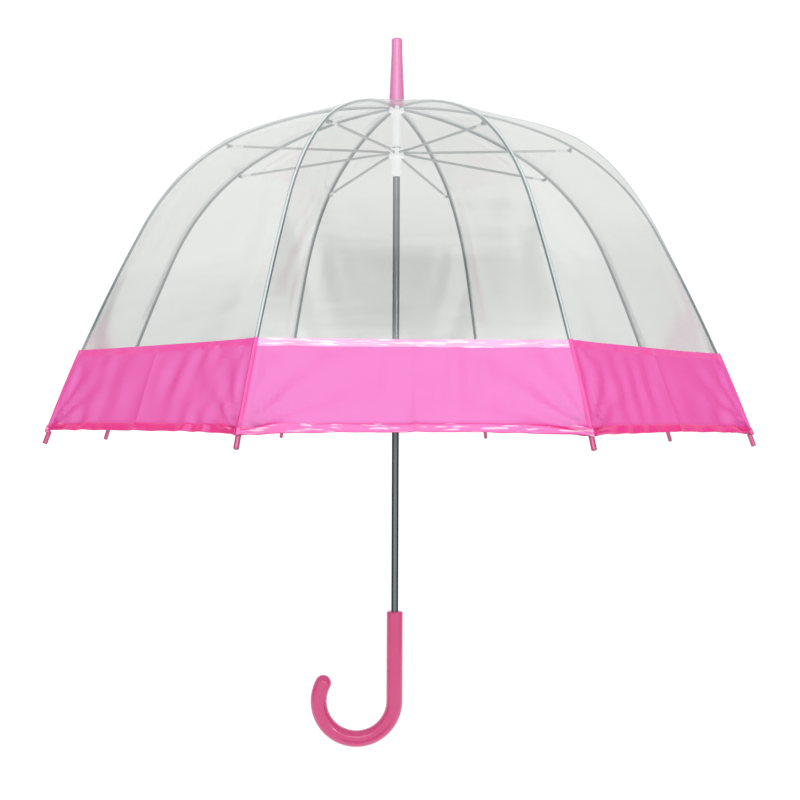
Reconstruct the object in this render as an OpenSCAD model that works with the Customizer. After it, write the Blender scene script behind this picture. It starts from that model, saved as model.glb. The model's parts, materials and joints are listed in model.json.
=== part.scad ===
// Stick umbrella with a clear dome canopy, eight ribs and a crook handle.
// Origin: on the shaft's axis at the handle's top face. +Z runs up the shaft,
// the crook opens towards -X, and one canopy panel faces -Y.

/* [Shaft] */
// Outer diameter of the shaft tube
shaft_d = 8; // [7:0.5:9]
// Wall thickness of the shaft tube
shaft_wall = 0.6; // [0.5:0.1:0.8]
// Height of the top notch's rib pivots above the handle's top face
notch_z = 575; // [560:1:590]
// Height of the runner's stretcher pivots with the canopy open
runner_z = 524.2; // [520:0.2:528]
// How far the runner slides down to close the canopy
runner_travel = 344; // [340:0.1:345]

/* [Handle] */
// Diameter of the grip
grip_d = 18.6; // [16:0.2:22]
// Length of the grip's straight part
grip_len = 102.6; // [95:0.2:110]
// Radius of the crook's centreline
crook_r = 43.3; // [40:0.1:48]
// How far the crook turns
crook_angle = 208; // [190:1:215]
// Depth of the shaft's socket in the grip
socket_depth = 60; // [50:1:70]

/* [Ferrule] */
// Diameter of the ferrule's end
ferrule_d = 12.5; // [11:0.1:14]
// Diameter of the ferrule above its foot
ferrule_low_d = 17; // [16:0.1:18]
// Diameter of the ferrule's foot
ferrule_foot_d = 19.2; // [18.5:0.1:20]
// Height of the ferrule's end above the handle's top face
ferrule_top_z = 655.3; // [645:0.1:665]

/* [Ribs] */
// Number of ribs and panels
ribs = 8; // [8:8:8]
// Slope of a rib at the notch, degrees below level
slope_notch = 4.1; // [3:0.1:5]
// Slope where the crown arc meets the shoulder arc
slope_crown = 25.4; // [25:0.1:26]
// Slope where the shoulder arc meets the skirt arc
slope_shoulder = 62; // [61:0.1:63]
// Slope at the tip
slope_tip = 70.3; // [69:0.1:71]
// Length of the crown arc
crown_len = 172.4; // [170:0.1:175]
// Length of the shoulder arc
shoulder_len = 166.6; // [165:0.1:168]
// Length of the skirt arc
skirt_len = 245.4; // [243:0.1:248]
// Distance along the rib to the stretcher's joint
joint_s = 206; // [205:0.5:207]
// Width of the rib's channel section
rib_w = 2.6; // [2.5:0.1:2.8]
// Height of the rib's channel section
rib_h = 2.2; // [2.1:0.1:2.4]
// Wall of the rib's channel section
rib_wall = 0.5; // [0.4:0.05:0.6]
// Diameter of a rib tip
tip_d = 4.8; // [4.6:0.1:5]

/* [Canopy] */
// Thickness of the clear film
film_t = 0.25; // [0.2:0.05:0.4]
// Distance along the rib to the top of the coloured border
border_s = 484; // [470:1:495]
// Distance along the rib to the top of the hem
hem_s = 565; // [560:1:566]
// Distance along the rib to the hem's lower edge
edge_s = 571; // [570:0.5:571.5]
// How far the hem's lower edge rises between two ribs
hem_rise = 3.5; // [0:0.5:5]

/* [Runner] */
// Outer diameter of the runner's sleeve
sleeve_d = 11.2; // [11:0.1:11.6]
// Outer diameter of the runner's crown and of the top notch
crown_d = 17.4; // [17:0.1:18]
// Length of the sleeve below the stretcher pivots
sleeve_len = 27.1; // [25:0.1:30]
// How far a catch stands out of the shaft
catch_out = 2; // [1.5:0.1:2]

/* [Hidden] */
$fn = 48;

shaft_r = shaft_d / 2;
bore_r = shaft_r - shaft_wall;
run_gap = 0.08;
grip_r = grip_d / 2;
socket_gap = 0.02;

// Pivot rings of the notch and the runner
wire_r = 0.5;
notch_ring_r = 6.5;
runner_ring_r = 7;
notch_low = notch_z - 3.8;
notch_top = notch_z + 1.8;
rivet_r = 0.6;
rivet_z = notch_low + 1.4;
slot_w = 1.9;
blade_w = 1.3;
eye_r = 1.5;
eye_bore_r = 0.75;

// Canopy apex, clamped between the notch and the ferrule
film_low = notch_top + 0.2;
washer_low = film_low + film_t + 0.05;
washer_t = 0.4;
ferrule_low = washer_low + washer_t + 0.05;
ferrule_r = ferrule_d / 2;
ferrule_low_r = ferrule_low_d / 2;
ferrule_foot_r = ferrule_foot_d / 2;
shaft_in_ferrule = 10;

// Rib arcs: each has a slope range, a radius and a centre in the (r, z) plane
function rad(a) = a * PI / 180;
function arc_radius(len, a0, a1) = len / rad(a1 - a0);
function arc_centre(p, radius, a) = p - radius * [sin(a), cos(a)];
function arc_point(c, radius, a) = c + radius * [sin(a), cos(a)];
crown_s = crown_len;
shoulder_s = crown_len + shoulder_len;
tip_s = shoulder_s + skirt_len;
arc_r = [arc_radius(crown_len, slope_notch, slope_crown),
         arc_radius(shoulder_len, slope_crown, slope_shoulder),
         arc_radius(skirt_len, slope_shoulder, slope_tip)];
notch_p = [notch_ring_r, notch_z];
crown_c = arc_centre(notch_p, arc_r[0], slope_notch);
shoulder_c = arc_centre(arc_point(crown_c, arc_r[0], slope_crown), arc_r[1], slope_crown);
skirt_c = arc_centre(arc_point(shoulder_c, arc_r[1], slope_shoulder), arc_r[2], slope_shoulder);
arc_c = [crown_c, shoulder_c, skirt_c];

function arc_of(s) = s < crown_s ? 0 : s < shoulder_s ? 1 : 2;
function slope(s) =
    s < crown_s ? slope_notch + (slope_crown - slope_notch) * s / crown_len
    : s < shoulder_s ? slope_crown + (slope_shoulder - slope_crown) * (s - crown_s) / shoulder_len
    : slope_shoulder + (slope_tip - slope_shoulder) * (s - shoulder_s) / skirt_len;
// Point at distance s along the rib, moved outwards by off
function rib_point(s, off = 0) =
    arc_point(arc_c[arc_of(s)], arc_r[arc_of(s)] + off, slope(s));

// Joints of the linkage
blade_len = 14;
joint_drop = 4.2;
flex_p = rib_point(joint_s);
joint_p = rib_point(joint_s, -joint_drop);
cap_r = rib_h / 2 - 0.1;
bracket_half = 1.3;
bracket_w = 1.4;
bracket_r = 1.6;
rivet_head_r = 0.8;
joint_eye_r = 1.9;
flex_gap = 0.25;
stretcher_in = [runner_ring_r, runner_z];
stretcher_vec = joint_p - stretcher_in;
stretcher_len = norm(stretcher_vec);
stretcher_drop = -atan2(stretcher_vec[1], stretcher_vec[0]);
stretcher_w = 1.8;
stretcher_h = 2.4;
stretcher_side = rib_w / 2 + 0.3 + stretcher_w / 2;
joggle_start = 7;
joggle_end = 24;
socket_s = edge_s + 0.8;
spigot_s = socket_s - 6;
spigot_r = 1;
tip_bore = 9;
tip_bore_r = 1.45;
tip_edge = 0.6;

// Runner and spacer
crown_top = runner_z + 4.4;
crown_low = runner_z - 4.7;
sleeve_low = runner_z - sleeve_len;
slot_floor = runner_z - 1.9;
key_w = 2.6;
key_r = shaft_r + catch_out + 0.4;
stop_low = crown_top + 0.5;
stop_t = 1.6;
spacer_low = stop_low + stop_t + 0.05;

// Catches: a nose through a slot in the shaft, on a leaf inside the tube
nose_len = 12;
nose_w = 1.8;
leaf_len = 34;
leaf_t = 0.5;
leaf_gap = 0.35;
catch_gap = 0.15;
top_nose_z = sleeve_low - 0.5 - nose_len;
bottom_nose_z = sleeve_low - runner_travel + 8;

// Canopy rows, by distance along the rib
film_off = 2.1;
band_off = film_off + film_t + 0.1;
band_t = 0.3;
hem_t = 0.5;
seam_half = 0.25;
apex_in = 5;
apex_flat = 9.5;
film_start_s = 30;
film_rows = 18;
film_end_s = border_s + 5;

// Places its children in the (r, z) plane of rib i, with Y across the rib
module at_rib(i)
    rotate([0, 0, (i - 0.5) * 360 / ribs])
        children();

// A round of radius r across the rib's plane at point p, from y0 to y1
module cross_pin(p, r, y0, y1)
    translate([p[0], y1, p[1]])
        rotate([90, 0, 0])
            cylinder(h = y1 - y0, r = r);

// Sweeps a section along arc k of a rib between two slopes.
// The section's x is outwards from the rib's centreline and its y is across it.
module arc_sweep(k, a0, a1)
    translate([arc_c[k][0], 0, arc_c[k][1]])
        rotate([90, 0, 0])
            rotate([0, 0, 90 - a1])
                rotate_extrude(angle = a1 - a0, $fn = 720)
                    translate([arc_r[k], 0])
                        children();

// The rib's section: a channel that opens inwards
module channel_section() {
    half = rib_w / 2;
    polygon([[-rib_h / 2, -half], [rib_h / 2, -half], [rib_h / 2, half], [-rib_h / 2, half],
             [-rib_h / 2, half - rib_wall], [rib_h / 2 - rib_wall, half - rib_wall],
             [rib_h / 2 - rib_wall, -half + rib_wall], [-rib_h / 2, -half + rib_wall]]);
}

// A bar in the rib's plane that starts at p and runs down at angle a
module bar(p, a, from, to, low, high, y0, y1)
    translate([p[0], 0, p[1]])
        rotate([0, a, 0])
            translate([from, y0, low])
                cube([to - from, y1 - y0, high - low]);

// A crimp inside the channel at distance s, where one arc runs into the next
module crimp(s)
    bar(rib_point(s), slope(s), -0.8, 0.8, 0.3, rib_h / 2 - 0.2,
        -rib_w / 2 + rib_wall / 2, rib_w / 2 - rib_wall / 2);

// Shaft tube, with one slot for each catch
module shaft() {
    low = -socket_depth + 2;
    high = ferrule_low + shaft_in_ferrule;
    color("lightsteelblue")
        difference() {
            translate([0, 0, low])
                cylinder(h = high - low, r = shaft_r);
            translate([0, 0, low - 1])
                cylinder(h = high - low + 2, r = bore_r);
            for (z = [top_nose_z, bottom_nose_z])
                translate([-nose_w / 2 - catch_gap, 0, z - 0.4])
                    cube([nose_w + catch_gap * 2, shaft_d, nose_len + 0.8]);
            cross_pin([0, rivet_z], rivet_r + socket_gap, -shaft_d, shaft_d);
        }
}

// Crook handle: straight grip, round crook and a ball end
module handle() {
    edge = 2.4;
    core_half = 4;
    color("palevioletred")
        difference() {
            union() {
                rotate_extrude() {
                    translate([0, -grip_len])
                        square([grip_r, grip_len - edge]);
                    translate([0, -edge - 0.1])
                        square([grip_r - edge, edge + 0.1]);
                    intersection() {
                        translate([grip_r - edge, -edge])
                            circle(r = edge);
                        translate([0, -edge - 0.1])
                            square([grip_r, edge + 0.1]);
                    }
                }
                // A core across the seam makes the straight and the crook one piece
                translate([0, 0, -grip_len - core_half])
                    cylinder(h = core_half * 2, r = grip_r / 2);
                translate([-crook_r, 0, -grip_len])
                    rotate([90, 0, 0])
                        rotate([0, 0, -crook_angle])
                            rotate_extrude(angle = crook_angle)
                                translate([crook_r, 0])
                                    circle(r = grip_r);
                translate([-crook_r, 0, -grip_len])
                    rotate([0, crook_angle, 0])
                        translate([crook_r, 0, 0])
                            sphere(r = grip_r);
            }
            translate([0, 0, -socket_depth])
                cylinder(h = socket_depth + 1, r = shaft_r + socket_gap);
        }
}

// Ferrule: foot, taper, straight end and a rounded edge
module ferrule() {
    round_r = 2;
    straight = 15;
    foot_h = 1.6;
    flare_h = 9;
    color("lightpink")
        difference() {
            rotate_extrude() {
                polygon([[0, ferrule_low], [ferrule_foot_r, ferrule_low],
                         [ferrule_foot_r, ferrule_low + foot_h],
                         [ferrule_low_r + 0.3, ferrule_low + foot_h + flare_h / 3],
                         [ferrule_low_r, ferrule_low + foot_h + flare_h],
                         [ferrule_r, ferrule_top_z - straight],
                         [ferrule_r, ferrule_top_z - round_r],
                         [ferrule_r - round_r, ferrule_top_z], [0, ferrule_top_z]]);
                intersection() {
                    translate([ferrule_r - round_r, ferrule_top_z - round_r])
                        circle(r = round_r);
                    translate([0, ferrule_top_z - round_r * 2])
                        square([ferrule_r, round_r * 2]);
                }
            }
            translate([0, 0, ferrule_low - 1])
                cylinder(h = shaft_in_ferrule + 1.5, r = shaft_r + socket_gap);
        }
}

// Clear washer that presses the canopy's apex onto the notch
module film_washer()
    color("whitesmoke")
        translate([0, 0, washer_low])
            difference() {
                cylinder(h = washer_t, r = apex_flat - 0.5);
                translate([0, 0, -1])
                    cylinder(h = washer_t + 2, r = shaft_r + run_gap);
            }

// A ring with a slot for each rib and a round tunnel for its wire
module slotted_ring(low, high, ring_r, ring_z, slot_in, slot_low)
    difference() {
        translate([0, 0, low])
            cylinder(h = high - low, d = crown_d);
        for (i = [1:ribs])
            at_rib(i)
                translate([slot_in, -slot_w / 2, slot_low])
                    cube([crown_d, slot_w, high - slot_low + 1]);
        translate([0, 0, ring_z])
            rotate_extrude()
                translate([ring_r, 0])
                    circle(r = wire_r + 0.05);
    }

module wire_ring(ring_r, ring_z)
    color("gray")
        translate([0, 0, ring_z])
            rotate_extrude()
                translate([ring_r, 0])
                    circle(r = wire_r);

// Top notch: slotted all the way down, so that the ribs can hang beside the shaft
module top_notch() {
    slot_in = shaft_r + 0.9;
    color("whitesmoke")
        difference() {
            slotted_ring(notch_low, notch_top, notch_ring_r, notch_z, slot_in, notch_low - 1);
            translate([0, 0, notch_low - 1])
                cylinder(h = notch_top - notch_low + 2, r = shaft_r + socket_gap);
            cross_pin([0, rivet_z], rivet_r + socket_gap, -crown_d, crown_d);
        }
}

module notch_wire()
    wire_ring(notch_ring_r, notch_z);

// Rivet that fixes the notch to the shaft
module notch_rivet()
    color("gray")
        cross_pin([0, rivet_z], rivet_r, -crown_d / 2 + 0.2, crown_d / 2 - 0.2);

module spacer_tube()
    color("white")
        difference() {
            translate([0, 0, spacer_low])
                cylinder(h = notch_low - spacer_low - 0.05, r = shaft_r + 0.55);
            translate([0, 0, spacer_low - 1])
                cylinder(h = notch_low - spacer_low + 2, r = shaft_r + socket_gap);
        }

module stop_ring()
    color("silver")
        translate([0, 0, stop_low])
            difference() {
                cylinder(h = stop_t, r = shaft_r + 1.3);
                translate([0, 0, -1])
                    cylinder(h = stop_t + 2, r = shaft_r + socket_gap);
            }

// A spring catch: sloping nose below, flat stop above, and the leaf behind it
module catch_plate(nose_z)
    color("silver") {
        back = bore_r - leaf_gap;
        translate([nose_w / 2, 0, nose_z])
            rotate([90, 0, -90])
                linear_extrude(height = nose_w)
                    polygon([[-back, 0], [-shaft_r - 0.2, 0], [-shaft_r - catch_out, nose_len * 0.7],
                             [-shaft_r - catch_out, nose_len], [-back, nose_len]]);
        translate([-nose_w / 2, back - leaf_t, nose_z - leaf_len + nose_len])
            cube([nose_w, leaf_t, leaf_len]);
    }

module top_catch()
    catch_plate(top_nose_z);

module bottom_catch()
    catch_plate(bottom_nose_z);

// Runner: sleeve and slotted crown, with a keyway at the back for the catches
module runner()
    color("white")
        difference() {
            union() {
                slotted_ring(crown_low, crown_top, runner_ring_r, runner_z, shaft_r + 1.25, slot_floor);
                translate([0, 0, sleeve_low])
                    cylinder(h = crown_low - sleeve_low, d = sleeve_d);
            }
            translate([0, 0, sleeve_low - 1])
                cylinder(h = crown_top - sleeve_low + 2, r = shaft_r + run_gap);
            translate([-key_w / 2, 0, sleeve_low - 1])
                cube([key_w, key_r, crown_top - sleeve_low + 2]);
        }

module runner_wire()
    wire_ring(runner_ring_r, runner_z);

// Upper rib: eye and flat blade in the notch, then the channel out to the stretcher's joint
module rib_upper(i) {
    blade_a0 = slope(blade_len - 2);
    color("slategray")
        at_rib(i)
            difference() {
                union() {
                    cross_pin(notch_p, eye_r, -blade_w / 2, blade_w / 2);
                    bar(notch_p, slope_notch, 0, blade_len, -1.2, 1.1, -blade_w / 2, blade_w / 2);
                    arc_sweep(0, blade_a0, slope_crown)
                        channel_section();
                    arc_sweep(1, slope_crown, slope(joint_s))
                        channel_section();
                    crimp(crown_s);
                    cross_pin(flex_p, cap_r, -rib_w / 2 + 0.1, rib_w / 2 - 0.1);
                    bar(flex_p, slope(joint_s), -bracket_half, bracket_half, -joint_drop, -0.5,
                        -bracket_w / 2, bracket_w / 2);
                    cross_pin(joint_p, bracket_r, -bracket_w / 2 - 0.1, bracket_w / 2 + 0.1);
                    cross_pin(joint_p, rivet_head_r, -bracket_w, bracket_w);
                }
                cross_pin(notch_p, eye_bore_r, -rib_w, rib_w);
            }
}

// Lower rib: channel from the joint to the tip, ending in a round spigot
module rib_lower(i) {
    color("slategray")
        at_rib(i)
            difference() {
                union() {
                    arc_sweep(1, slope(joint_s), slope_shoulder)
                        channel_section();
                    arc_sweep(2, slope_shoulder, slope(spigot_s))
                        channel_section();
                    crimp(shoulder_s);
                    bar(rib_point(spigot_s), slope(spigot_s), -2, 12, -0.8, 1.05, -spigot_r, spigot_r);
                }
                cross_pin(flex_p, cap_r + flex_gap, -rib_w, rib_w);
            }
}

// Moulded tip over the rib's spigot
module rib_tip(i) {
    len = tip_s + 0.8 - socket_s;
    p = rib_point(socket_s);
    color("deeppink")
        at_rib(i)
            translate([p[0], 0, p[1]])
                rotate([0, 90 + slope(socket_s), 0])
                    difference() {
                        union() {
                            cylinder(h = len - tip_edge, r = tip_d / 2);
                            translate([0, 0, len - tip_edge])
                                cylinder(h = tip_edge, r1 = tip_d / 2, r2 = tip_d / 2 - tip_edge);
                        }
                        translate([0, 0, -1])
                            cylinder(h = tip_bore + 1, r = tip_bore_r);
                    }
}

// Stretcher: eye on the runner's wire, a joggle to one side, and an eye beside the rib's joint
module stretcher(i) {
    y0 = stretcher_side - stretcher_w / 2;
    y1 = stretcher_side + stretcher_w / 2;
    half = stretcher_h / 2;
    color("slategray")
        at_rib(i)
            difference() {
                union() {
                    cross_pin(stretcher_in, eye_r, -blade_w / 2, blade_w / 2);
                    bar(stretcher_in, stretcher_drop, 0, joggle_start, -half, half, -blade_w / 2, blade_w / 2);
                    translate([stretcher_in[0], 0, stretcher_in[1]])
                        rotate([90, 0, 0])
                            rotate([0, 0, -stretcher_drop])
                                rotate([-90, 0, 0])
                                    translate([0, 0, -half])
                                        linear_extrude(height = stretcher_h)
                                            polygon([[joggle_start - 0.5, -blade_w / 2],
                                                     [joggle_end, y0], [joggle_end, y1],
                                                     [joggle_start - 0.5, blade_w / 2]]);
                    bar(stretcher_in, stretcher_drop, joggle_end - 0.2, stretcher_len, -half, half, y0, y1);
                    cross_pin(joint_p, joint_eye_r, y0, y1);
                }
                cross_pin(stretcher_in, eye_bore_r, -rib_w, rib_w);
                cross_pin(joint_p, rivet_head_r + 0.1, 0, rib_w * 2);
            }
}

// One corner of a canopy row: at (r, z) in the plane of rib i, set in from the seam
function corner(i, p, side) =
    let (a = (i - 0.5) * 360 / ribs, t = side * seam_half)
    [p[0] * cos(a) - t * sin(a), p[0] * sin(a) + t * cos(a), p[1]];

// A closed strip of cloth between rib i and the next: rows of [inner, outer] profile points,
// with a lift at mid panel for each row
module gore(i, rows, lifts) {
    n = len(rows);
    function column(c, k) = [for (j = [0:n - 1])
        c == 0 ? corner(i, rows[j][k], 1)
        : c == 2 ? corner(i + 1, rows[j][k], -1)
        : (corner(i, rows[j][k], 1) + corner(i + 1, rows[j][k], -1)) / 2 + [0, 0, lifts[j]]];
    points = [for (k = [0, 1]) for (c = [0:2]) each column(c, k)];
    function at(k, c, j) = (k * 3 + c) * n + j;
    faces = concat(
        [for (c = [0, 1]) for (j = [0:n - 2]) each
            [[at(1, c, j), at(1, c, j + 1), at(1, c + 1, j + 1)],
             [at(1, c, j), at(1, c + 1, j + 1), at(1, c + 1, j)],
             [at(0, c, j), at(0, c + 1, j + 1), at(0, c, j + 1)],
             [at(0, c, j), at(0, c + 1, j), at(0, c + 1, j + 1)]]],
        [for (j = [0:n - 2]) each
            [[at(0, 0, j), at(0, 0, j + 1), at(1, 0, j + 1)],
             [at(0, 0, j), at(1, 0, j + 1), at(1, 0, j)],
             [at(0, 2, j), at(1, 2, j + 1), at(0, 2, j + 1)],
             [at(0, 2, j), at(1, 2, j), at(1, 2, j + 1)]]],
        [for (c = [0, 1]) each
            [[at(0, c, 0), at(1, c, 0), at(1, c + 1, 0)],
             [at(0, c, 0), at(1, c + 1, 0), at(0, c + 1, 0)],
             [at(0, c, n - 1), at(1, c + 1, n - 1), at(1, c, n - 1)],
             [at(0, c, n - 1), at(0, c + 1, n - 1), at(1, c + 1, n - 1)]]]);
    polyhedron(points, faces, convexity = 4);
}

function film_row(s) = [rib_point(s, film_off), rib_point(s, film_off + film_t)];

// Clear panel i, from the apex to just under the border
module canopy_panel(i) {
    apex_rows = [for (r = [apex_in, apex_flat]) [[r, film_low], [r, film_low + film_t]]];
    rib_rows = [for (j = [0:film_rows])
        film_row(film_start_s + (film_end_s - film_start_s) * j / film_rows)];
    rows = concat(apex_rows, rib_rows);
    color("lightgray", 0.4)
        gore(i, rows, [for (r = rows) 0]);
}

// Coloured border, welded over the lower edge of the clear panels
module border_band() {
    cut = [border_s, (border_s + hem_s) / 2, hem_s];
    rows = [for (s = cut) [rib_point(s, band_off), rib_point(s, band_off + band_t)]];
    color("hotpink")
        for (i = [1:ribs])
            gore(i, rows, [0, 0, 0]);
}

// Hem: the folded lower edge, which rises a little between the ribs
module hem() {
    rows = [for (s = [hem_s + 0.1, edge_s]) [rib_point(s, band_off - 0.1), rib_point(s, band_off + hem_t)]];
    color("mediumvioletred")
        for (i = [1:ribs])
            gore(i, rows, [0, hem_rise]);
}

shaft();
handle();
ferrule();
film_washer();
top_notch();
notch_wire();
notch_rivet();
spacer_tube();
stop_ring();
top_catch();
bottom_catch();
runner();
runner_wire();
border_band();
hem();
for (i = [1:ribs]) {
    rib_upper(i);
    rib_lower(i);
    rib_tip(i);
    stretcher(i);
    canopy_panel(i);
}
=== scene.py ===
import json
import math

import bpy
import numpy as np
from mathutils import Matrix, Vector


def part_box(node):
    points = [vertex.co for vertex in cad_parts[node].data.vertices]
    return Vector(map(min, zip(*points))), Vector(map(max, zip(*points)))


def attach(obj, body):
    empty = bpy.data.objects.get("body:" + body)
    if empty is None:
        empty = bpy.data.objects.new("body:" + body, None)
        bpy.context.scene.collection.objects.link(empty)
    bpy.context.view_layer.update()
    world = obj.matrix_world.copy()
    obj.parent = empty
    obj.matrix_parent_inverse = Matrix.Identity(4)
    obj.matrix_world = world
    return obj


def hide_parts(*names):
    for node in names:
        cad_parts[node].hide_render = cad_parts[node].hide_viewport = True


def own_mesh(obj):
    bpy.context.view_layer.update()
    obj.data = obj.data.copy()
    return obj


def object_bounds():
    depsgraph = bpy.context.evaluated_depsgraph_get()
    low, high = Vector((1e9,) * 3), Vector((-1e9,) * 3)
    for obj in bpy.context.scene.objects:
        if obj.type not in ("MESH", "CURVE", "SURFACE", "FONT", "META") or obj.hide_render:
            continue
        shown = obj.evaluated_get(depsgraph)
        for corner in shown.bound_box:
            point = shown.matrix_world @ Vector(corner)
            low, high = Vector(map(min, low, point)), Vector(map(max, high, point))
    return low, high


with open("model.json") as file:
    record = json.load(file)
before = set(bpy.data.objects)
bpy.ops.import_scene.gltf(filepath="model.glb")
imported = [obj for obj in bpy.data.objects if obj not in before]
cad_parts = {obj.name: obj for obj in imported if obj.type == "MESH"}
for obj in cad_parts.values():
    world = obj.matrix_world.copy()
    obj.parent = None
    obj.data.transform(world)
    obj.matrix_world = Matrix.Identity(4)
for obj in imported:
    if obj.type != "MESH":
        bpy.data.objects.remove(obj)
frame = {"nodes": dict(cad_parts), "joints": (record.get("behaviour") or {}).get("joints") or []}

CAD_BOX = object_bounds()
NODES = frame["nodes"]
JOINTS = {joint["name"]: joint for joint in frame["joints"]}

# The ribs, as in the CAD part: three arcs, with their slopes below level in degrees and their lengths.
# All lengths here are in metres.
RIBS = 8
STEP = 2 * math.pi / RIBS
HALF_STEP = STEP / 2
ARC_SLOPES = (4.1, 25.4, 62.0, 70.3)
ARC_LENGTHS = (0.1724, 0.1666, 0.2454)

# Distances along a rib from the notch, from the canopy's apex down to its lower edge
APEX_S = 0.003
CROWN_S = 0.030
JOINT_S = 0.206
BORDER_S = 0.484
WELD_S = 0.489
HEM_S = 0.5642
EDGE_S = 0.5722

# How far the cloth lies outside a rib's line, and the apex's hole
FILM_OFF = 0.0019
BAND_OFF = 0.0025
APEX_R = 0.0095

# Within this distance of a rib, the relief stands out as the rib does and not as mid panel does
RIB_SIDE = 0.004

# Relief of the clear film
SAG_SHARE = 0.012
SEAM_LIFT = {5: 0.0015, 8: 0.0090}     # how far the film stands off the shoulder of these ribs
SHOULDER_S = 0.215
SHOULDER_REACH = 0.085
SHOULDER_FADE = 0.06
JOINT_RISE = 0.0005
JOINT_REACH = 0.008
PULL_DEPTH = 0.0006
PULL_PITCH = 0.016
PULL_REACH = 0.022
PULL_FADE = 0.004
FILM_SLACK = 0.0012
FULL_SLACK_CHORD = 0.08

# Relief of the border
WELT_FADE = 0.006
TIP_FAN = {"folds": 13, "depth": 0.0030, "reach": 0.055}
TOP_FAN = {"folds": 9, "depth": 0.0018, "reach": 0.03, "start": 0.004}
WELT_DEPTH, WELT_SHARPNESS = 0.0011, 0.0021
GROOVE_DEPTH, GROOVE_X, GROOVE_W = 0.0004, 0.0034, 0.001
CREASE_DEPTH, CREASE_W = 0.0013, 0.004
FOLD_DEPTH, FOLD_W = 0.0005, 0.010
BORDER_SLACK = 0.0020
PLEAT_DEPTH, PLEAT_PITCH, PLEAT_FADE = 0.0014, 0.034, 0.02
RELIEF_FADE = 0.014

# The hem's lower edge: its rise between the ribs, and its reach down over the tips
HEM_RISE = 0.0018
RISE_START_S = 0.52
CORNER_DROP = 0.0022
DROP_START_S = 0.55
DROP_REACH = 0.006
HEM_R = 0.33


# ---------------------------------------------------------------- rib curve

def plane_point(pos):
    """A row-frame point as (distance from the shaft's axis, height)."""
    return np.array([math.hypot(pos[0], pos[1]), pos[2]])


def direction(angle):
    """The (radius, height) normal of a line that slopes down by angle."""
    return np.array([math.sin(angle), math.cos(angle)])


NOTCH = plane_point(JOINTS["rib_hinge_1"]["pos_m"])
SLOPES = [math.radians(a) for a in ARC_SLOPES]
ARC_STARTS = [0.0, ARC_LENGTHS[0], ARC_LENGTHS[0] + ARC_LENGTHS[1]]
TIP_S = sum(ARC_LENGTHS)


def arc_table():
    """(start, slope, radius, centre) of each of the rib's three arcs."""
    arcs, point = [], NOTCH
    for start, length, a0, a1 in zip(ARC_STARTS, ARC_LENGTHS, SLOPES, SLOPES[1:]):
        radius = length / (a1 - a0)
        centre = point - radius * direction(a0)
        arcs.append((start, a0, radius, centre))
        point = centre + radius * direction(a1)
    return arcs


ARCS = arc_table()


def slope_at(s):
    """The rib's slope below level at distance s from the notch."""
    return np.interp(s, ARC_STARTS + [TIP_S], SLOPES)


def rib_line(s, off):
    """(radius, height) arrays of points at distances s, moved outwards by off."""
    s = np.asarray(s, float)
    r, z = np.zeros_like(s), np.zeros_like(s)
    for start, a0, radius, centre in ARCS:
        here = s >= start
        angle = a0 + (s - start) / radius
        r = np.where(here, centre[0] + (radius + off) * np.sin(angle), r)
        z = np.where(here, centre[1] + (radius + off) * np.cos(angle), z)
    return r, z


def slope_at_radius(r):
    """The rib's slope at distance r from the shaft's axis."""
    s = np.linspace(0, TIP_S, 60)
    return np.interp(r, rib_line(s, 0)[0], slope_at(s))


APEX_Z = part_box("canopy_panel_1")[1].z
CROWN_POINT = [float(v) for v in rib_line(CROWN_S, FILM_OFF)]


def cloth_line(s, off):
    """The cloth's line over a rib: straight from the apex to the crown, then along the rib."""
    r, z = rib_line(s, off)
    share = np.clip((np.asarray(s, float) - APEX_S) / (CROWN_S - APEX_S), 0, 1)
    near_r = APEX_R + (CROWN_POINT[0] - APEX_R) * share
    near_z = APEX_Z + (CROWN_POINT[1] - APEX_Z) * share
    return np.where(share < 1, near_r, r), np.where(share < 1, near_z, z)


def cloth_point(s, off):
    """One (radius, height) point of the cloth's line."""
    return np.array([float(v) for v in cloth_line(s, off)])


# ------------------------------------------------------------ cloth surface

def rib_angle(i):
    return (i - 0.5) * STEP


def rib_directions(i):
    """Unit vectors at rib i: away from the shaft, and round it."""
    a = rib_angle(i)
    return np.array([math.cos(a), math.sin(a), 0]), np.array([-math.sin(a), math.cos(a), 0])


def half_chord(r):
    """Half the distance between neighbouring ribs at radius r."""
    return r * math.sin(HALF_STEP)


def bell(x, width):
    return np.exp(-((x / width) ** 2))


def fade(x, full):
    """0 at x = 0, 1 from x = full on."""
    return np.clip(x / full, 0, 1)


def waves(k, u, s, seed, count, pitch):
    """Smooth seeded unevenness of about -1 to 1, over panel k."""
    rng = np.random.default_rng(1000 * seed + k)
    x = u * half_chord(cloth_line(s, 0)[0])
    total = np.zeros_like(u + s)
    for _ in range(count):
        across, along, phase = rng.uniform(-1, 1), rng.uniform(0.2, 1), rng.uniform(0, 2 * math.pi)
        total += np.sin((across * x + along * s) * 2 * math.pi / pitch + phase)
    return total / count


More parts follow.
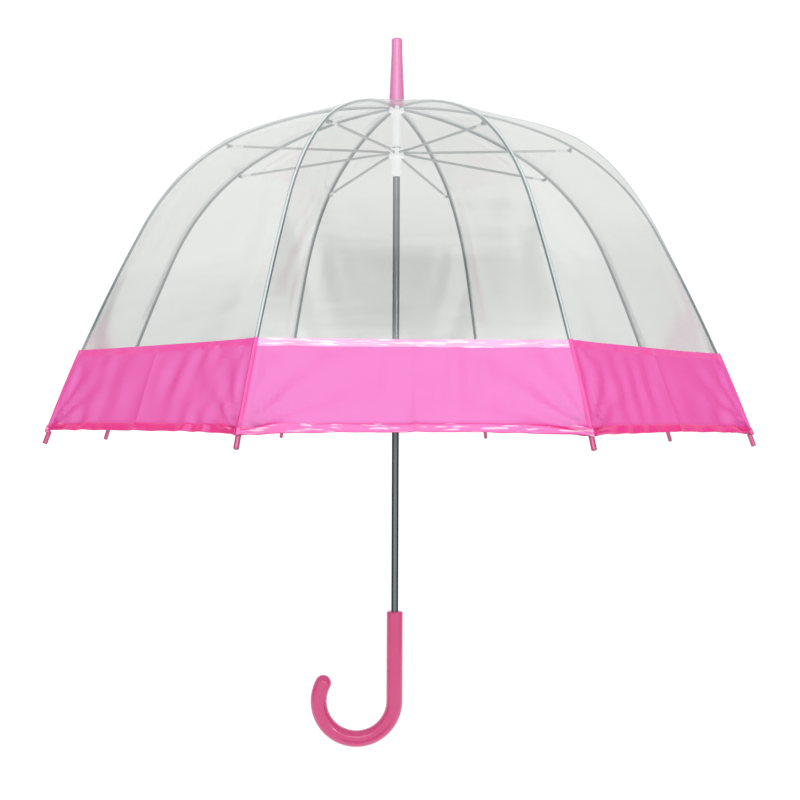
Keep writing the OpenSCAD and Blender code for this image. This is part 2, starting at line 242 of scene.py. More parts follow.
def film_relief(k, u, s):
    """How far the clear film stands off the flat chord between its two ribs."""
    reach = half_chord(cloth_line(s, 0)[0])
    from_rib = (1 - np.abs(u)) * reach
    sag = -SAG_SHARE * reach * (1 - u * u)
    shoulder = bell(s - SHOULDER_S, SHOULDER_REACH) * fade(s, SHOULDER_FADE)
    lift = SEAM_LIFT.get(k, 0) * (1 - u) / 2 + SEAM_LIFT.get(k % RIBS + 1, 0) * (1 + u) / 2
    phase = np.random.default_rng(500 + k).uniform(0, 6.28)
    pulls = PULL_DEPTH * np.sin(from_rib * 2 * math.pi / PULL_PITCH + 3 * np.sin(s * 14 + phase))
    pulls *= np.exp(-from_rib / PULL_REACH) * fade(from_rib, PULL_FADE)
    held = 1 - np.abs(u) ** 6
    loose = FILM_SLACK * waves(k, u, s, 1, 5, 0.16) * held * fade(reach, FULL_SLACK_CHORD)
    over_joint = JOINT_RISE * bell(s - JOINT_S, JOINT_REACH)
    return sag + lift * shoulder + pulls + loose + over_joint


def fan(along, from_rib, shift, folds, depth, reach, start=0.0):
    """Folds that spread from a corner of the border and die away."""
    angle = np.arctan2(along + start, from_rib + 1e-6)
    distance = np.hypot(along, from_rib)
    return depth * np.cos(angle * folds + shift) * np.exp(-distance / reach) * fade(from_rib, WELT_FADE)


def border_relief(k, u, s):
    """Relief of the border: fans from its corners, the welt on the rib, creases, slack and pleats."""
    reach = half_chord(cloth_line(s, 0)[0])
    x = u * reach
    from_rib = (1 - np.abs(u)) * reach
    shift = np.where(u < 0, 0.0, 1.7) + np.random.default_rng(800 + k).uniform(0, 6.28)
    pulls = fan(EDGE_S - s, from_rib, shift, **TIP_FAN) + fan(s - BORDER_S, from_rib, shift, **TOP_FAN)
    welt = WELT_DEPTH * np.exp(-((from_rib / WELT_SHARPNESS) ** 4))
    welt -= GROOVE_DEPTH * bell(from_rib - GROOVE_X, GROOVE_W)
    crease = CREASE_DEPTH * np.exp(-np.abs(u) * reach / CREASE_W)
    crease += FOLD_DEPTH * bell(np.abs(np.abs(u) - 0.5) * reach, FOLD_W) * np.sin(s * 60 + k)
    slack = BORDER_SLACK * waves(k, u, s, 2, 5, 0.11) * (1 - np.abs(u) ** 4)
    wander = 2.2 * np.sin(x * 27 + 2 * k) + 24 * (s - BORDER_S)
    pleats = PLEAT_DEPTH * np.sin(x * 2 * math.pi / PLEAT_PITCH + wander) * fade(from_rib, PLEAT_FADE)
    slack += pleats * (0.5 + waves(k, u, s, 3, 4, 0.07))
    film = film_relief(k, u, np.full_like(s, BORDER_S))
    carried = film * fade(EDGE_S - s, EDGE_S - BORDER_S)
    return carried + welt + (pulls + crease + slack) * fade(s - BORDER_S, RELIEF_FADE)


def hem_lift(u, s):
    """The hem rises between the ribs and reaches down over the tips; the cloth above it gives way."""
    corner = np.exp(-(1 - np.abs(u)) * half_chord(HEM_R) / DROP_REACH)
    rise = HEM_RISE * (1 - u * u) * fade(s - RISE_START_S, HEM_S - RISE_START_S)
    return s - rise + CORNER_DROP * corner * fade(s - DROP_START_S, HEM_S - DROP_START_S)


def panel_points(k, u, s, off, relief):
    """Points of panel k, u from -1 at rib k to 1 at the next rib."""
    s = hem_lift(u, s)
    r, z = cloth_line(s, off)
    a0, a1, mid = rib_angle(k), rib_angle(k + 1), rib_angle(k) + HALF_STEP
    left, right = (1 - u) / 2, (1 + u) / 2
    lift = relief(k, u, s)
    slope = slope_at(s)
    from_rib = (1 - np.abs(u)) * half_chord(r)
    way = mid + np.sign(u) * HALF_STEP * bell(from_rib, RIB_SIDE)
    x = r * (left * math.cos(a0) + right * math.cos(a1)) + lift * np.sin(slope) * np.cos(way)
    y = r * (left * math.sin(a0) + right * math.sin(a1)) + lift * np.sin(slope) * np.sin(way)
    return np.stack([x, y, z + lift * np.cos(slope)], -1)


def panel_normals(k, u, s, off, relief):
    """Normals of the whole panel, so that strips of it meet with no mark."""
    du, ds = 1e-3, 1e-4
    across = panel_points(k, u + du, s, off, relief) - panel_points(k, u - du, s, off, relief)
    down = panel_points(k, u, s + ds, off, relief) - panel_points(k, u, s - ds, off, relief)
    normals = np.cross(down, across)
    return normals / np.linalg.norm(normals, axis=-1, keepdims=True)


# ------------------------------------------------------------------ fold axis


def fold_onto_rib(piece, i, side, s0, s1, off):
    """Gives the strip a mesh of its own; the axis it would fold about, towards its rib, is worked out but
    not used.
    """
    top, low = cloth_point(s0, off), cloth_point(s1, off)
    chord = (low - top) / np.linalg.norm(low - top)
    radial, around = rib_directions(i)
    rib_out = radial * -chord[1] + np.array([0, 0, chord[0]])
    drawn = radial if s0 == JOINT_S else rib_out * -chord[1]
    axis = around * side * math.cos(HALF_STEP) - drawn * math.sin(HALF_STEP)
    axis /= np.linalg.norm(axis)
    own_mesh(piece)


# ------------------------------------------------------------- mesh helpers

def new_object(name, verts, faces, materials, face_slots=None, normals=None):
    mesh = bpy.data.meshes.new(name)
    mesh.from_pydata([tuple(v) for v in verts], [], faces)
    for material in materials:
        mesh.materials.append(material)
    if face_slots is not None:
        mesh.polygons.foreach_set("material_index", face_slots)
    mesh.polygons.foreach_set("use_smooth", [True] * len(mesh.polygons))
    mesh.update()
    if normals is not None:
        mesh.normals_split_custom_set_from_vertices([tuple(n) for n in normals])
    obj = bpy.data.objects.new(name, mesh)
    bpy.context.scene.collection.objects.link(obj)
    return obj


def grid_faces(rows, cols, flip):
    faces = []
    for row in range(rows - 1):
        for col in range(cols - 1):
            a, b = row * cols + col, (row + 1) * cols + col
            quad = (a, b, b + 1, a + 1)
            faces.append(quad[::-1] if flip else quad)
    return faces


# ---------------------------------------------------------- material helpers

def node_material(name):
    """A material with one Principled shader: (material, node tree, shader, output)."""
    material = bpy.data.materials.new(name)
    material.use_nodes = True
    tree = material.node_tree
    tree.nodes.clear()
    output = tree.nodes.new("ShaderNodeOutputMaterial")
    bsdf = tree.nodes.new("ShaderNodeBsdfPrincipled")
    tree.links.new(bsdf.outputs["BSDF"], output.inputs["Surface"])
    return material, tree, bsdf, output


def object_coords(tree, scale=(1, 1, 1)):
    coords = tree.nodes.new("ShaderNodeTexCoord")
    mapping = tree.nodes.new("ShaderNodeMapping")
    mapping.inputs["Scale"].default_value = scale
    tree.links.new(coords.outputs["Object"], mapping.inputs["Vector"])
    return mapping.outputs["Vector"]


def noise(tree, vector, scale, detail=3.0, rough=0.55):
    node = tree.nodes.new("ShaderNodeTexNoise")
    node.inputs["Scale"].default_value = scale
    node.inputs["Detail"].default_value = detail
    node.inputs["Roughness"].default_value = rough
    tree.links.new(vector, node.inputs["Vector"])
    return node.outputs["Fac"]


def map_range(tree, value, start, end, smooth=False):
    """Maps start..end onto 0..1."""
    node = tree.nodes.new("ShaderNodeMapRange")
    if smooth:
        node.interpolation_type = "SMOOTHSTEP"
    node.inputs["From Min"].default_value = start
    node.inputs["From Max"].default_value = end
    tree.links.new(value, node.inputs["Value"])
    return node.outputs["Result"]


def ramp(tree, value, low, high):
    """Maps 0..1 onto low..high."""
    node = tree.nodes.new("ShaderNodeMapRange")
    node.inputs["To Min"].default_value = low
    node.inputs["To Max"].default_value = high
    tree.links.new(value, node.inputs["Value"])
    return node.outputs["Result"]


def math_node(tree, operation, values, clamp=False):
    node = tree.nodes.new("ShaderNodeMath")
    node.operation = operation
    node.use_clamp = clamp
    for value, socket in zip(values, node.inputs):
        tree.links.new(value, socket)
    return node.outputs["Value"]


def colour_mix(tree, value, first, second):
    """From first at 0 to second at 1; each is a colour or a socket."""
    node = tree.nodes.new("ShaderNodeMix")
    node.data_type = "RGBA"
    factor_input, first_input, second_input = node.inputs[0], node.inputs[6], node.inputs[7]
    tree.links.new(value, factor_input)
    for colour, socket in ((first, first_input), (second, second_input)):
        if isinstance(colour, tuple):
            socket.default_value = (*colour, 1)
        else:
            tree.links.new(colour, socket)
    return node.outputs[2]


def facing(tree, blend):
    """0 where the face looks at the eye, 1 where it turns away."""
    layer = tree.nodes.new("ShaderNodeLayerWeight")
    layer.inputs["Blend"].default_value = blend
    return layer.outputs["Facing"]


def painted_shade_share(tree, shift, start, end):
    """Share from 0 at facing start to 1 at facing end, which shift moves a little: how much painted shade
    a base colour gets.
    """
    return map_range(tree, math_node(tree, "ADD", (facing(tree, 0.5), shift)), start, end)


def bump(tree, bsdf, height, distance, strength):
    node = tree.nodes.new("ShaderNodeBump")
    node.inputs["Distance"].default_value = distance
    node.inputs["Strength"].default_value = strength
    tree.links.new(height, node.inputs["Height"])
    tree.links.new(node.outputs["Normal"], bsdf.inputs["Normal"])


# --------------------------------------------------------------- materials

MOULD_GRAIN = {"distance": 0.00012, "strength": 0.5}


def plastic(name, colour, deep, rough, coat, glow=0.0):
    """Glossy moulded plastic: faint flow marks, uneven gloss; glow is painted light, light of its own in
    its own colour that stands in for light coming through it.
    """
    material, tree, bsdf, _ = node_material(name)
    at = object_coords(tree)
    tree.links.new(colour_mix(tree, noise(tree, at, 35), deep, colour), bsdf.inputs["Base Color"])
    uneven = ramp(tree, noise(tree, at, 160), rough - 0.05, rough + 0.09)
    tree.links.new(uneven, bsdf.inputs["Roughness"])
    bsdf.inputs["Coat Weight"].default_value = coat
    bsdf.inputs["Coat Roughness"].default_value = 0.12
    bsdf.inputs["Emission Color"].default_value = (*colour, 1)
    bsdf.inputs["Emission Strength"].default_value = glow
    bump(tree, bsdf, noise(tree, at, 420, 2), **MOULD_GRAIN)
    return material


def moulded(name, blend, middle, edge):
    """Moulded plastic with painted light: a painted highlight makes its base colour lighter along its
    middle, and painted shade makes it darker at its outline.
    """
    material, tree, bsdf, _ = node_material(name)
    at = object_coords(tree)
    # Painted highlight and shade: the facing angle mixes the base colour from the lit middle to the shaded
    # outline.
    tree.links.new(colour_mix(tree, facing(tree, blend), middle, edge), bsdf.inputs["Base Color"])
    tree.links.new(ramp(tree, noise(tree, at, 160), 0.18, 0.30), bsdf.inputs["Roughness"])
    bsdf.inputs["Coat Weight"].default_value = 0.4
    bsdf.inputs["Coat Roughness"].default_value = 0.1
    bump(tree, bsdf, noise(tree, at, 420, 2), **MOULD_GRAIN)
    return material


def drawn_lines(tree):
    """Fine lines along Z, as on drawn metal."""
    return noise(tree, object_coords(tree, (1, 1, 0.03)), 900, 2)


def metal(name, colour, dark, rough):
    """Drawn metal with fine lines, dull patches and slight tarnish."""
    material, tree, bsdf, _ = node_material(name)
    at = object_coords(tree)
    tree.links.new(colour_mix(tree, noise(tree, at, 60), dark, colour), bsdf.inputs["Base Color"])
    tree.links.new(ramp(tree, noise(tree, at, 25), rough * 0.7, rough * 1.4), bsdf.inputs["Roughness"])
    bsdf.inputs["Metallic"].default_value = 1.0
    bump(tree, bsdf, drawn_lines(tree), distance=0.00005, strength=0.35)
    return material


def plated(name):
    """Bright-plated tube with a painted reflection: grey in the middle, its base colour painted near-black
    along its two edges by the facing angle.
    """
    material, tree, bsdf, _ = node_material(name)
    middle, edge = (0.18, 0.22, 0.235), (0.006, 0.007, 0.008)
    # Painted reflection: the facing angle darkens the base colour to near-black at the edges.
    tree.links.new(colour_mix(tree, facing(tree, 0.87), middle, edge), bsdf.inputs["Base Color"])
    bsdf.inputs["Metallic"].default_value = 1.0
    polish = ramp(tree, noise(tree, object_coords(tree), 25), 0.12, 0.24)
    tree.links.new(polish, bsdf.inputs["Roughness"])
    bump(tree, bsdf, drawn_lines(tree), distance=0.00004, strength=0.3)
    return material


def rib_metal(name):
    """Galvanised channel with painted light: its outer back painted bright as a painted highlight, its
    rolled edges and other faces painted dark as painted shade, and dull spangles.

    The UV map "across" holds the share of the way from the middle to an edge, and 1 on the back.
    """
    material, tree, bsdf, _ = node_material(name)
    at = object_coords(tree)
    across = tree.nodes.new("ShaderNodeUVMap")
    across.uv_map = "across"
    split = tree.nodes.new("ShaderNodeSeparateXYZ")
    tree.links.new(across.outputs["UV"], split.inputs["Vector"])
    out_from_middle = math_node(tree, "ABSOLUTE", (split.outputs["X"],))
    edge = map_range(tree, out_from_middle, 0.45, 0.80, smooth=True)
    lit = math_node(tree, "SUBTRACT", (split.outputs["Y"], edge), clamp=True)
    # Painted light: near-white on the outer back, dark on the edges and on the other faces.
    dark, bright = (0.19, 0.235, 0.25), (0.80, 0.86, 0.87)
    tree.links.new(colour_mix(tree, lit, dark, bright), bsdf.inputs["Base Color"])
    tree.links.new(ramp(tree, noise(tree, at, 140), 0.30, 0.50), bsdf.inputs["Roughness"])
    bsdf.inputs["Metallic"].default_value = 0.8
    bump(tree, bsdf, noise(tree, at, 500, 2), distance=0.00005, strength=0.4)
    return material


def clear_film(name, tint, shine, base, peak, mirror=0.6):
    """Thin clear sheet: what is behind shows through a tint, and the face shines from base to peak."""
    material, tree, bsdf, output = node_material(name)
    bsdf.inputs["Base Color"].default_value = (*shine, 1)
    bsdf.inputs["Metallic"].default_value = mirror
    polish = ramp(tree, noise(tree, object_coords(tree), 14), 0.13, 0.27)
    tree.links.new(polish, bsdf.inputs["Roughness"])
    streaks = noise(tree, object_coords(tree, (0.5, 0.5, 2.2)), 12, 2, 0.5)
    bump(tree, bsdf, streaks, distance=0.002, strength=0.5)
    clear = tree.nodes.new("ShaderNodeBsdfTransparent")
    clear.inputs["Color"].default_value = (*tint, 1)
    mix = tree.nodes.new("ShaderNodeMixShader")
    tree.links.new(ramp(tree, facing(tree, 0.35), base, peak), mix.inputs["Fac"])
    tree.links.new(clear.outputs["BSDF"], mix.inputs[1])
    tree.links.new(bsdf.outputs["BSDF"], mix.inputs[2])
    tree.links.new(mix.outputs["Shader"], output.inputs["Surface"])
    return material


def cloth(name, painted_sheen_colour, painted_shade_colour, rough):
    """Plain-woven satin cloth with a fine weave and painted light: a painted sheen makes it paler where it
    faces the eye, and painted shade makes it deeper on its slopes.
    """
    material, tree, bsdf, _ = node_material(name)
    at = object_coords(tree)
    # Painted sheen and shade: the facing angle mixes the base colour.
    away = painted_shade_share(tree, ramp(tree, noise(tree, at, 18, 4), -0.05, 0.05), 0.08, 0.62)
    tree.links.new(colour_mix(tree, away, painted_sheen_colour, painted_shade_colour), bsdf.inputs["Base Color"])
    uneven = ramp(tree, noise(tree, at, 90), rough - 0.06, rough + 0.08)
    tree.links.new(uneven, bsdf.inputs["Roughness"])
    bsdf.inputs["Specular IOR Level"].default_value = 0.12
    weave = tree.nodes.new("ShaderNodeTexWave")
    weave.wave_type = "BANDS"
    weave.bands_direction = "Z"
    weave.inputs["Scale"].default_value = 700
    weave.inputs["Distortion"].default_value = 1.5
    tree.links.new(at, weave.inputs["Vector"])
    bump(tree, bsdf, weave.outputs["Fac"], distance=0.00008, strength=0.4)
    return material


def tape(name, painted_sheen_colour, painted_shade_colour, glint, amount):
    """Glossy pressed tape with painted light: painted shade makes it deep where it turns away, and a
    painted sheen and broken painted glints make it pale where it faces the eye.
    """
    material, tree, bsdf, _ = node_material(name)
    at = object_coords(tree)
    away = painted_shade_share(tree, ramp(tree, noise(tree, at, 30), -0.04, 0.04), 0.10, 0.40)
    long_noise = noise(tree, object_coords(tree, (1, 1, 9)), 48, 2)
    broken = map_range(tree, long_noise, amount, amount + 0.08, smooth=True)
    # Painted glints: pale patches in the base colour, only where the tape faces the eye.
    lit = math_node(tree, "SUBTRACT", (broken, away), clamp=True)
    base = colour_mix(tree, away, painted_sheen_colour, painted_shade_colour)
    tree.links.new(colour_mix(tree, lit, base, glint), bsdf.inputs["Base Color"])
    bsdf.inputs["Roughness"].default_value = 0.3
    bsdf.inputs["Specular IOR Level"].default_value = 0.25
    bump(tree, bsdf, noise(tree, at, 48, 2), distance=0.002, strength=0.6)
    return material


M_FILM = clear_film("clear film", (0.815, 0.83, 0.818), (0.84, 0.85, 0.84), 0.22, 0.55, 0.75)
M_SEAM = clear_film("welded seam", (0.88, 0.92, 0.91), (0.96, 0.98, 0.97), 0.34, 0.78, 0.15)
M_SEAM_EDGE = clear_film("seam edge", (0.46, 0.54, 0.54), (0.52, 0.58, 0.59), 0.30, 0.6)
# The border, seam, weld and hem colours get painted sheen, painted glints and painted shade by the facing
# angle.
M_BORDER = cloth("border cloth", (0.73, 0.20, 0.51), (0.70, 0.072, 0.345), 0.42)
M_WELT = cloth("border seam", (0.78, 0.13, 0.42), (0.66, 0.045, 0.26), 0.36)
M_WELD = tape("border weld", (0.84, 0.44, 0.68), (0.74, 0.07, 0.34), (0.86, 0.72, 0.80), 0.52)
M_HEM = tape("hem binding", (0.80, 0.17, 0.47), (0.72, 0.03, 0.225), (0.82, 0.50, 0.68), 0.54)
M_HANDLE = plastic("handle plastic", (0.58, 0.045, 0.185), (0.53, 0.035, 0.16), 0.3, 0.6)
# Ferrule and tips: painted highlight along the middle, painted shade at the outline.
M_FERRULE = moulded("ferrule plastic", 0.48, (0.72, 0.25, 0.49), (0.50, 0.065, 0.25))
M_TIP = moulded("tip plastic", 0.80, (0.66, 0.07, 0.25), (0.13, 0.004, 0.025))
# The white plastic glows: painted light that makes it brighter than its lamps make it.
M_WHITE = plastic("white plastic", (0.93, 0.95, 0.96), (0.88, 0.91, 0.92), 0.3, 0.1, 0.25)
# The shaft's dark edges are a painted reflection.
M_SHAFT = plated("plated shaft")
M_RIB = rib_metal("rib steel")
M_WIRE = metal("wire steel", (0.44, 0.475, 0.48), (0.33, 0.36, 0.37), 0.3)
M_SLEEVE = plastic("end sleeve", (0.80, 0.84, 0.84), (0.72, 0.77, 0.77), 0.3, 0.1)
M_DARK = metal("dark rivet", (0.05, 0.06, 0.06), (0.03, 0.035, 0.035), 0.4)


# ------------------------------------------------------------------- canopy

# Where the strips are cut, so that each can fold with its rib
UPPER_CUTS = (APEX_S, 0.030, 0.062, 0.105, 0.155, JOINT_S)
LOWER_CUTS = (JOINT_S, 0.213, 0.224, 0.238, 0.256, 0.280, 0.312, 0.355, 0.420, BORDER_S + 0.001)
BORDER_CUTS = (BORDER_S, 0.503, 0.523, 0.545, EDGE_S)

# Mesh rows along a strip, and columns from the rib to mid panel, of which the first few cover the seam
LEAST_ROWS = 5
FILM_ROW = 0.005
BORDER_ROW = 0.0035
FILM_GRID = {"count": 13, "seam_w": 0.0023, "seam_columns": 2}
BORDER_GRID = {"count": 34, "seam_w": 0.0034, "seam_columns": 5}
MOST_SEAM_SHARE = 0.35

# The rolled hem
HEM_THICK = 0.0009
HEM_BACK_SHARE = 0.5
HEM_ROUNDNESS = 0.6

# Material slots of a border strip
CLOTH, WELD, HEM, WELT = range(4)


def columns(r, count, seam_w, seam_columns):
    """Shares of the way from the rib to mid panel, one row for each radius, dense within the seam."""
    reach = half_chord(r)[:, None]
    seam = np.minimum(seam_w, MOST_SEAM_SHARE * reach)
    near = seam * np.linspace(0, 1, seam_columns + 1)[None, :-1]
    far = seam + (reach - seam) * np.linspace(0, 1, count - seam_columns)[None, :]
    return np.concatenate([near, far], axis=1) / reach


def half_panel_grid(i, side, s, offs, relief, grid):
    """Points and normals of the half panel on one side of rib i."""
    k = i if side > 0 else (i - 2) % RIBS + 1
    u = (columns(cloth_line(s, offs)[0], **grid) - 1) * side
    rows = np.repeat(s[:, None], grid["count"], axis=1)
    off = np.repeat(offs[:, None], grid["count"], axis=1)
    points = panel_points(k, u, rows, off, relief)
    normals = panel_normals(k, u, rows, off, relief)
    return points.reshape(-1, 3), normals.reshape(-1, 3)


def film_strip(name, i, side, s0, s1):
    """A strip of clear film: its first column is the welded seam and the second the seam's edge."""
    rows = max(LEAST_ROWS, round((s1 - s0) / FILM_ROW) + 1)
    s = np.linspace(s0, s1, rows)
    verts, normals = half_panel_grid(i, side, s, np.full(rows, FILM_OFF), film_relief, FILM_GRID)
    count = FILM_GRID["count"]
    faces = grid_faces(rows, count, side < 0)
    slots = [max(0, 2 - face % (count - 1)) for face in range(len(faces))]
    return new_object(name, verts, faces, [M_FILM, M_SEAM_EDGE, M_SEAM], slots, normals)


def border_rows(s0, s1):
    """Rows of a border strip: (distances, offsets, material slots of the faces below each row)."""
    with_hem = s1 > HEM_S
    end = min(s1, HEM_S)
    rows = max(LEAST_ROWS, round((end - s0) / BORDER_ROW) + 1)
    s = list(np.linspace(s0, end, rows))
    offs = [BAND_OFF] * rows
    kinds = [WELD if a < WELD_S - 1e-6 else CLOTH for a in s[:-1]]
    if with_hem:
        half = (EDGE_S - HEM_S) / 2
        around = np.linspace(0, math.pi, 7)[1:]
        s += [HEM_S + half - half * math.cos(a) for a in around]
        offs += [BAND_OFF + HEM_THICK * math.sin(a) ** HEM_ROUNDNESS for a in around]
        back = np.linspace(0, math.pi, 6)[1:]
        s += [EDGE_S - half + half * math.cos(a) for a in back]
        offs += [BAND_OFF - HEM_BACK_SHARE * HEM_THICK * math.sin(a) ** HEM_ROUNDNESS for a in back]
        kinds += [HEM] * (len(s) - rows)
    return np.array(s), np.array(offs), kinds


def border_strip(name, i, side, s0, s1):
    """A strip of border, with the welt over the rib and, at the lower edge, the rolled hem."""
    s, offs, kinds = border_rows(s0, s1)
    verts, _ = half_panel_grid(i, side, s, offs, border_relief, BORDER_GRID)
    count = BORDER_GRID["count"]
    faces = grid_faces(len(s), count, side < 0)
    slots = []
    for kind in kinds:
        seam = kind if kind == HEM else WELT
        seam_faces = BORDER_GRID["seam_columns"] - 1
        slots += [seam] * seam_faces + [kind] * (count - 1 - seam_faces)
    return new_object(name, verts, faces, [M_BORDER, M_WELD, M_HEM, M_WELT], slots)


STRIP_KINDS = {
    "film": (film_strip, FILM_OFF, "clear_film"),
    "border": (border_strip, BAND_OFF, "border_cloth"),
}


def strip(kind, i, side, number, s0, s1, lower):
    """One strip of half panel, from s0 to s1 along rib i, that rides on its rib."""
    make, off, slot = STRIP_KINDS[kind]
    body = f"rib_lower_{i}" if lower else f"rib_upper_{i}"
    piece = make(f"{kind}_{i}_{'left' if side > 0 else 'right'}_{number}", i, side, s0, s1)
    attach(piece, body)
    fold_onto_rib(piece, i, side, s0, s1, off)
    return piece


def half_panel(i, side):
    """All strips on one side of rib i: (film strips, border strips)."""
    cuts = [(pair, False) for pair in zip(UPPER_CUTS, UPPER_CUTS[1:])]
    cuts += [(pair, True) for pair in zip(LOWER_CUTS, LOWER_CUTS[1:])]
    film = [strip("film", i, side, n, *pair, lower) for n, (pair, lower) in enumerate(cuts, 1)]
    cuts = zip(BORDER_CUTS, BORDER_CUTS[1:])
    border = [strip("border", i, side, n, *pair, True) for n, pair in enumerate(cuts, 1)]
    return film, border


def canopy():
    """All strips, on both sides of each rib; the CAD panels, the band and the hem are hidden."""
    for i in range(1, RIBS + 1):
        film, border = half_panel(i, 1)
        half_panel(i, -1)
        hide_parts(f"canopy_panel_{i}")
    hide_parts("border_band")
    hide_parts("hem")


canopy()


# ------------------------------------------------------- CAD nodes that stay

RIB_HALF = 0.0013
BACK_FACING = 0.8

KEPT = {
    "shaft": M_SHAFT, "handle": M_HANDLE, "ferrule": M_FERRULE, "film_washer": M_WELD,
    "top_notch": M_WHITE, "notch_wire": M_WIRE, "notch_rivet": M_WIRE, "spacer_tube": M_WHITE,
    "stop_ring": M_WIRE, "top_catch": M_WIRE, "bottom_catch": M_WIRE, "runner": M_WHITE,
    "runner_wire": M_WIRE,
}


def finish_node(node, material):
    obj = NODES[node]
    obj.data.materials.clear()
    obj.data.materials.append(material)


def mark_across(obj, i):
    """Marks how far each corner lies across rib i, and which faces are its outer back, which the rib steel
    paints bright as a painted highlight.
    """
    layer = obj.data.uv_layers.new(name="across")
    radial, across = (Vector(v) for v in rib_directions(i))
    for face in obj.data.polygons:
        slope = float(slope_at_radius(face.center.dot(radial)))
        outward = radial * math.sin(slope) + Vector((0, 0, math.cos(slope)))
        back = 1.0 if face.normal.dot(outward) > BACK_FACING else 0.0
        for index in face.loop_indices:
            offset = obj.data.vertices[obj.data.loops[index].vertex_index].co.dot(across)
            layer.data[index].uv = (offset / RIB_HALF, back)


for node, material in KEPT.items():
    finish_node(node, material)
for i in range(1, RIBS + 1):
    for node in (f"rib_upper_{i}", f"rib_lower_{i}"):
        finish_node(node, M_RIB)
        mark_across(NODES[node], i)
    finish_node(f"stretcher_{i}", M_WIRE)
    finish_node(f"rib_tip_{i}", M_TIP)


# ------------------------------------------------------ small fitted pieces

JOINT_DROP = 0.0042
STRETCHER_SIDE = 0.0025
SLEEVE_START, SLEEVE_END, SLEEVE_R = 0.0035, 0.0155, 0.00165
OUTER_START, OUTER_END, OUTER_R = 0.0008, 0.0015, 0.0016
HEAD_START, HEAD_END, HEAD_R = 0.0007, 0.0017, 0.0017
TUBE_SIDES = 16
TUBE_ROUNDING = 0.25


def tube(name, start, end, radius, material):
    """A closed round bar between two points, its ends rounded over."""
    axis = (end - start).normalized()
    across = axis.orthogonal().normalized()
    around = axis.cross(across)
    reach = radius * TUBE_ROUNDING
    rings = [
        (start, 0.0), (start, radius - reach), (start + axis * reach, radius),
        (end - axis * reach, radius), (end, radius - reach), (end, 0.0),
    ]
    verts, faces = [], []
    for centre, r in rings:
        for n in range(TUBE_SIDES):
            a = 2 * math.pi * n / TUBE_SIDES
            verts.append(centre + (across * math.cos(a) + around * math.sin(a)) * max(r, 1e-5))
    for ring in range(len(rings) - 1):
        a, b = ring * TUBE_SIDES, (ring + 1) * TUBE_SIDES
        for n in range(TUBE_SIDES):
            m = (n + 1) % TUBE_SIDES
            faces.append((a + n, a + m, b + m, b + n))
    return new_object(name, verts, faces, [material])


def joint_pieces(i):
    """The clear end sleeve of stretcher i and the rivet heads of its joint."""
    radial, across = (Vector(v) for v in rib_directions(i))
    r, z = (float(v) for v in rib_line(JOINT_S, -JOINT_DROP))
    joint = radial * r + Vector((0, 0, z))
    inner = plane_point(JOINTS["stretcher_hinge_1"]["pos_m"])
    back = (radial * (inner[0] - r) + Vector((0, 0, inner[1] - z))).normalized()
    beside = joint + across * STRETCHER_SIDE
    sleeve = tube(
        f"end_sleeve_{i}", beside + back * SLEEVE_START, beside + back * SLEEVE_END, SLEEVE_R, M_SLEEVE
    )
    outer = tube(
        f"rivet_outer_{i}", beside + across * OUTER_START, beside + across * OUTER_END, OUTER_R, M_DARK
    )
    head = tube(
        f"rivet_head_{i}", joint - across * HEAD_START, joint - across * HEAD_END, HEAD_R, M_DARK
    )
    for piece, body, slot in (
        (sleeve, "stretcher", "white_plastic"),
        (outer, "stretcher", "rib_steel"),
        (head, "rib_upper", "rib_steel"),
    ):
        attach(piece, f"{body}_{i}")


for i in range(1, RIBS + 1):
    joint_pieces(i)


# -------------------------------------------------------------------- stage

def stage_plane(name, size, location, rotation, material):
    x, y = size[0] / 2, size[1] / 2
    corners = [(-x, -y, 0), (x, -y, 0), (x, y, 0), (-x, y, 0)]
    obj = new_object(name, corners, [(0, 1, 2, 3)], [material])
    obj.location = location
    obj.rotation_euler = rotation
    return obj


def plain(name, colour, glow=0.0):
    """Matt paint with no shine; glow is white light of its own."""
    material, _, bsdf, _ = node_material(name)
    bsdf.inputs["Base Color"].default_value = (*colour, 1)
    bsdf.inputs["Roughness"].default_value = 0.9
    bsdf.inputs["Specular IOR Level"].default_value = 0.0
    bsdf.inputs["Emission Color"].default_value = (1, 1, 1, 1)
    bsdf.inputs["Emission Strength"].default_value = glow
    return material


def backdrop():
    """A pale floor that curves up into a pale wall behind the object."""
    floor_z, wall_y, reach, bend, steps = CAD_BOX[0][2] - 0.35, 2.6, 7.0, 1.6, 12
    profile = [(-reach, floor_z), (wall_y - bend, floor_z)]
    for n in range(1, steps + 1):
        a = math.pi / 2 * n / steps
        profile.append((wall_y - bend + bend * math.sin(a), floor_z + bend - bend * math.cos(a)))
    profile.append((wall_y, floor_z + 6))
    verts = [(x, y, z) for y, z in profile for x in (-reach, reach)]
    faces = [(2 * n, 2 * n + 1, 2 * n + 3, 2 * n + 2) for n in range(len(profile) - 1)]
    obj = new_object("floor_and_wall", verts, faces, [plain("pale floor", (0.12, 0.12, 0.12), 0.97)])


def lamp(name, size, location, target, power):
    data = bpy.data.lights.new(name, "AREA")
    data.shape = "RECTANGLE"
    data.size, data.size_y = size
    data.energy = power
    obj = bpy.data.objects.new(name, data)
    obj.location = location
    obj.rotation_euler = (Vector(target) - Vector(location)).to_track_quat("-Z", "Y").to_euler()
    bpy.context.scene.collection.objects.link(obj)


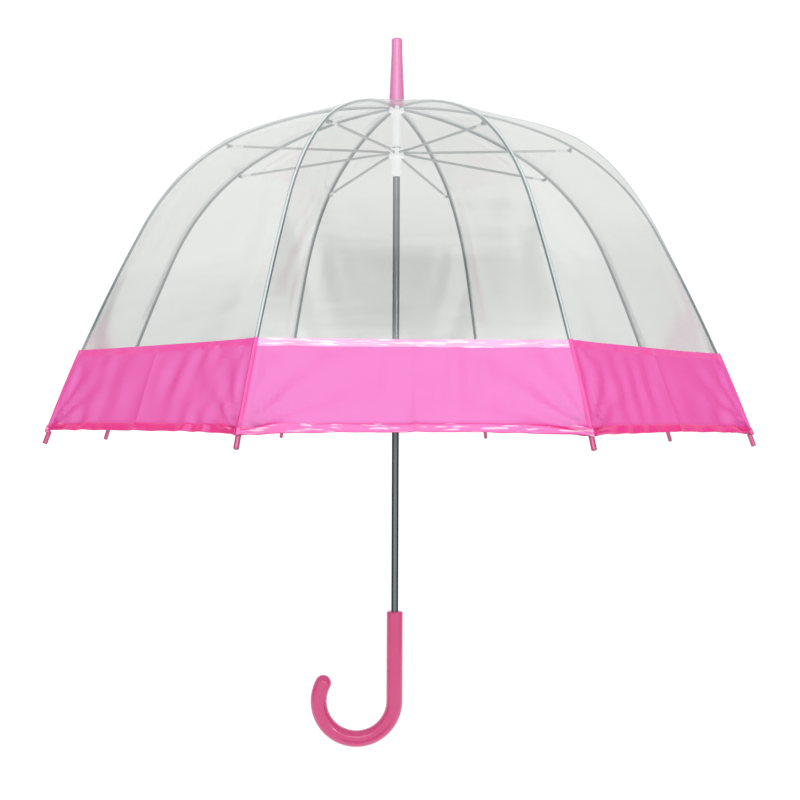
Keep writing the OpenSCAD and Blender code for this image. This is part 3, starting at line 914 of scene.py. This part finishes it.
def flag(name, size, location, rotation, grey):
    """A card that only reflections see."""
    obj = stage_plane(name, size, location, rotation, plain(name + " card", grey))
    obj.visible_camera = False
    obj.visible_diffuse = False
    obj.visible_shadow = False
    obj.visible_transmission = False


DARK_CARD = (0.03, 0.01, 0.015)
BACK_CARD = (0.70, 0.71, 0.71)
SIDE_CARD = (0.10, 0.11, 0.11)


def studio():
    """Even white surroundings, a soft key, a side light and a small bright one for glints."""
    world = bpy.data.worlds.new("studio")
    world.use_nodes = True
    world.node_tree.nodes["Background"].inputs["Color"].default_value = (1, 1, 1, 1)
    world.node_tree.nodes["Background"].inputs["Strength"].default_value = 0.97
    bpy.context.scene.world = world
    bpy.context.scene.view_settings.view_transform = "Standard"
    lamp("key", (1.3, 0.6), (-0.1, -1.75, 1.10), (0, -0.3, 0.2), 6.5)
    lamp("side", (0.8, 1.4), (-1.9, -1.1, 1.0), (0, 0, 0.3), 1.5)
    lamp("spark", (0.22, 0.12), (0.85, -1.6, 0.5), (0, 0, -0.1), 3.0)
    flag("ceiling", (0.66, 0.50), (0.21, -1.42, 1.85), (0.3, 0, 0), DARK_CARD)
    flag("low_card", (0.34, 0.50), (0.05, -0.47, -0.40), (0, 0, 0), DARK_CARD)
    for name, side in (("left", -1), ("right", 1)):
        upright = (math.pi / 2, 0, -side * math.pi / 2)
        flag(name + "_back", (1.7, 3), (side * 2.4, 1.3, 0.3), upright, BACK_CARD)
        flag(name + "_flag", (1.2, 3), (side * 2.3, -0.2, 0.3), upright, SIDE_CARD)


def camera():
    """About level with the hem, 1.32 m from the shaft, a little to the left of it, with a slight roll."""
    distance, height, aside = 1.3174, 0.2164, -0.0254
    turn, roll = 0.0282, 0.0040
    c, s = math.cos(turn), math.sin(turn)
    data = bpy.data.cameras.new("camera")
    data.sensor_width = 36
    data.lens = 51.77
    data.shift_x = 0.0334
    data.shift_y = 0.0275
    obj = bpy.data.objects.new("camera", data)
    obj.location = (aside * c - distance * s, -aside * s - distance * c, height)
    obj.rotation_euler = (math.pi / 2, -roll, -turn)
    bpy.context.scene.collection.objects.link(obj)
    bpy.context.scene.camera = obj


backdrop()
studio()
camera()
